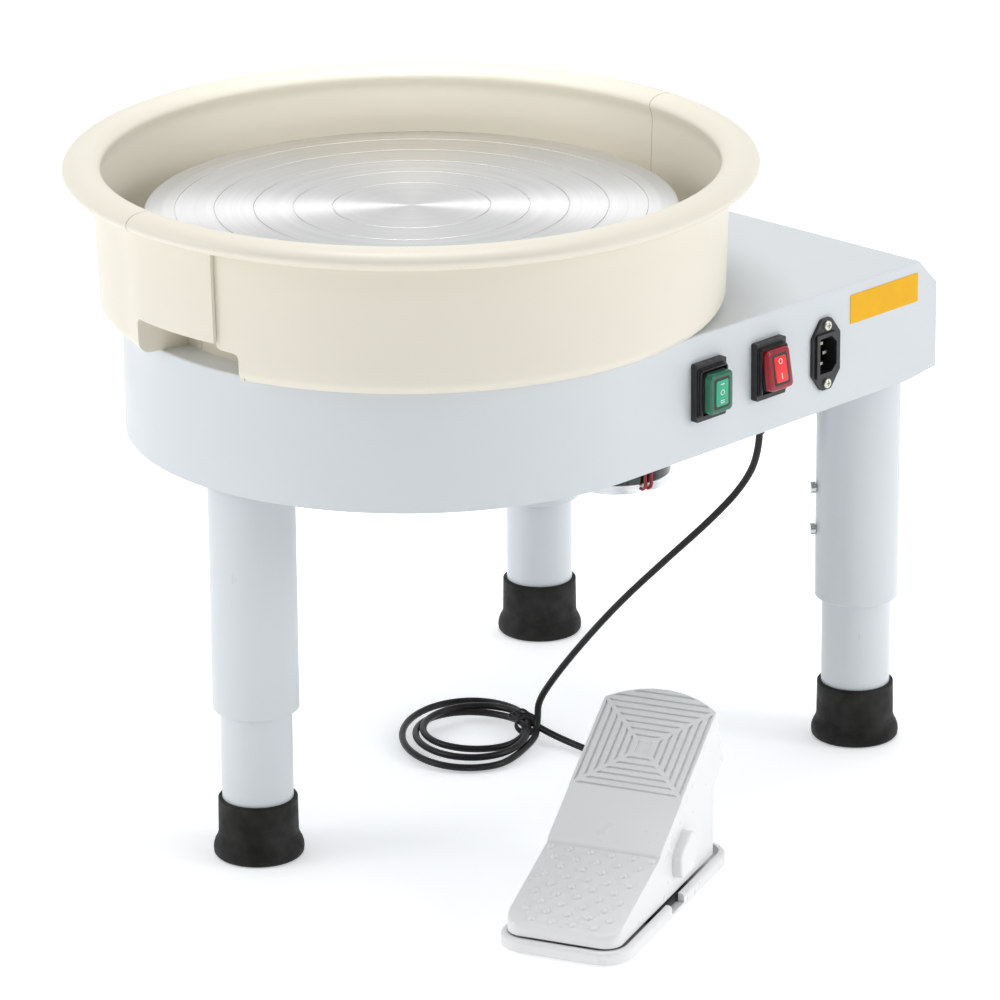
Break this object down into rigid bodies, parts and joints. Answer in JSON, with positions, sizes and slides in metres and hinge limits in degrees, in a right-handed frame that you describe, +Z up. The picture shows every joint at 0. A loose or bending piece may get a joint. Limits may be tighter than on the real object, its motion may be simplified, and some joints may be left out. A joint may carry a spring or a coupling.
{
  "type": "electric pottery wheel",
  "caption": "Electric pottery wheel: grooved aluminium wheel head in a two-part splash basin on a steel housing with adjustable legs, side switches, inlet, and a corded foot pedal",
  "frame": {"origin": "centre of the object's bounding box in plan, on the floor", "axes": "+Z up along the spindle; +X towards the rear of the housing; -Y towards the switch panel"},
  "size_m": [0.5345, 0.5296, 0.448],
  "materials": {
    "housing_paint": "satin powder coat",
    "wheel_aluminium": "turned",
    "steel": "ground",
    "zinc_screws": "zinc plated",
    "black_screws": "black oxide",
    "cast_iron": "painted casting",
    "drive_aluminium": "machined",
    "motor_paint": "gloss black",
    "motor_lead": "soft sleeve",
    "belt_rubber": "ribbed",
    "leg_paint": "satin powder coat",
    "leg_steel": "satin powder coat",
    "foot_rubber": "matt",
    "basin_plastic": "satin moulded",
    "pedal_plastic": "gloss moulded",
    "black_plastic": "moulded",
    "green_lens": "lit lens",
    "red_lens": "lit lens",
    "label_yellow": "printed film",
    "board_green": "solder resist",
    "brass_pins": "plated",
    "cord_pvc": "soft",
    "spring_steel": "oiled"
  },
  "bodies": {
    "body": {"housing_shell": "housing_paint", "bearing_housing": "cast_iron", "upper_bearing": "steel", "lower_bearing": "steel", "bearing_bolts": "zinc_screws", "splash_collar": "drive_aluminium", "motor_bracket": "housing_paint", "motor_can": "motor_paint", "motor_end_bell": "drive_aluminium", "motor_bolts": "zinc_screws", "motor_leads": "motor_lead", "drive_belt": "belt_rubber", "controller_case": "housing_paint", "controller_board": "board_green", "wiring_box": "housing_paint", "green_switch_frame": "black_plastic", "green_switch_boot": "black_plastic", "red_switch_frame": "black_plastic", "red_switch_boot": "black_plastic", "power_inlet": "black_plastic", "inlet_pins": "brass_pins", "inlet_screws": "zinc_screws", "label_plate": "label_yellow", "front_leg_tube": "leg_paint", "left_leg_tube": "leg_paint", "right_leg_tube": "leg_paint", "leg_bolts": "zinc_screws", "leg_clamp_screws": "zinc_screws", "cord_gland": "black_plastic", "pedal_base": "pedal_plastic", "pedal_pads": "foot_rubber", "pedal_pin": "steel", "pedal_sensor": "black_plastic", "pedal_relief": "black_plastic", "pedal_lead": "cord_pvc", "pedal_cord": "cord_pvc", "pedal_cord_tail": "cord_pvc", "pedal_cord_coil": "cord_pvc", "cord_tie": "cord_pvc"},
    "wheel": {"wheel_head": "wheel_aluminium", "head_grub_screws": "black_screws", "spindle": "steel", "driven_pulley": "drive_aluminium", "spindle_nut": "zinc_screws"},
    "motor_rotor": {"motor_shaft": "steel", "motor_pulley": "drive_aluminium"},
    "green_switch": {"green_rocker": "green_lens"},
    "red_switch": {"red_rocker": "red_lens"},
    "front_leg": {"front_inner_tube": "leg_steel", "front_foot": "foot_rubber"},
    "left_leg": {"left_inner_tube": "leg_steel", "left_foot": "foot_rubber"},
    "right_leg": {"right_inner_tube": "leg_steel", "right_foot": "foot_rubber"},
    "treadle": {"pedal_treadle": "pedal_plastic", "pedal_spring": "spring_steel"},
    "near_basin": {"near_basin_half": "basin_plastic"},
    "far_basin": {"far_basin_half": "basin_plastic"}
  },
  "joints": [
    {"name": "wheel_spin", "type": "hinge", "parent": "body", "child": "wheel", "pos_m": [-0.03975, 0.03728, 0.34], "axis": [0, 0, 1], "continuous": true},
    {"name": "motor_spin", "type": "hinge", "parent": "body", "child": "motor_rotor", "pos_m": [0.15725, 0.03728, 0.26], "axis": [0, 0, 1], "continuous": true},
    {"name": "green_rock", "type": "hinge", "parent": "body", "child": "green_switch", "pos_m": [0.03595, -0.15672, 0.3095], "axis": [1, 0, 0], "range_deg": [-8, 8]},
    {"name": "red_rock", "type": "hinge", "parent": "body", "child": "red_switch", "pos_m": [0.09425, -0.15672, 0.3095], "axis": [1, 0, 0], "range_deg": [0, 20]},
    {"name": "front_leg_adjust", "type": "slide", "parent": "body", "child": "front_leg", "axis": [0, 0, 1], "range_m": [-0.02, 0.06]},
    {"name": "left_leg_adjust", "type": "slide", "parent": "body", "child": "left_leg", "axis": [0, 0, 1], "range_m": [-0.02, 0.06]},
    {"name": "right_leg_adjust", "type": "slide", "parent": "body", "child": "right_leg", "axis": [0, 0, 1], "range_m": [-0.02, 0.06]},
    {"name": "treadle_press", "type": "hinge", "parent": "body", "child": "treadle", "pos_m": [-0.08158, -0.18876, 0.034], "axis": [-0.3584, 0.9336, 0], "range_deg": [0, 5.8], "stiffness_Nm_per_rad": 20, "springref_deg": -2.86, "deforming": ["pedal_spring"]},
    {"name": "near_basin_lift_off", "type": "slide", "parent": "body", "child": "near_basin", "axis": [0.165, -0.9863, 0], "range_m": [0, 0.3]},
    {"name": "far_basin_lift_off", "type": "slide", "parent": "body", "child": "far_basin", "axis": [-0.165, 0.9863, 0], "range_m": [0, 0.3]}
  ],
  "couplings": [
    {"joint": "motor_spin", "follows": "wheel_spin", "ratio": 5}
  ]
}
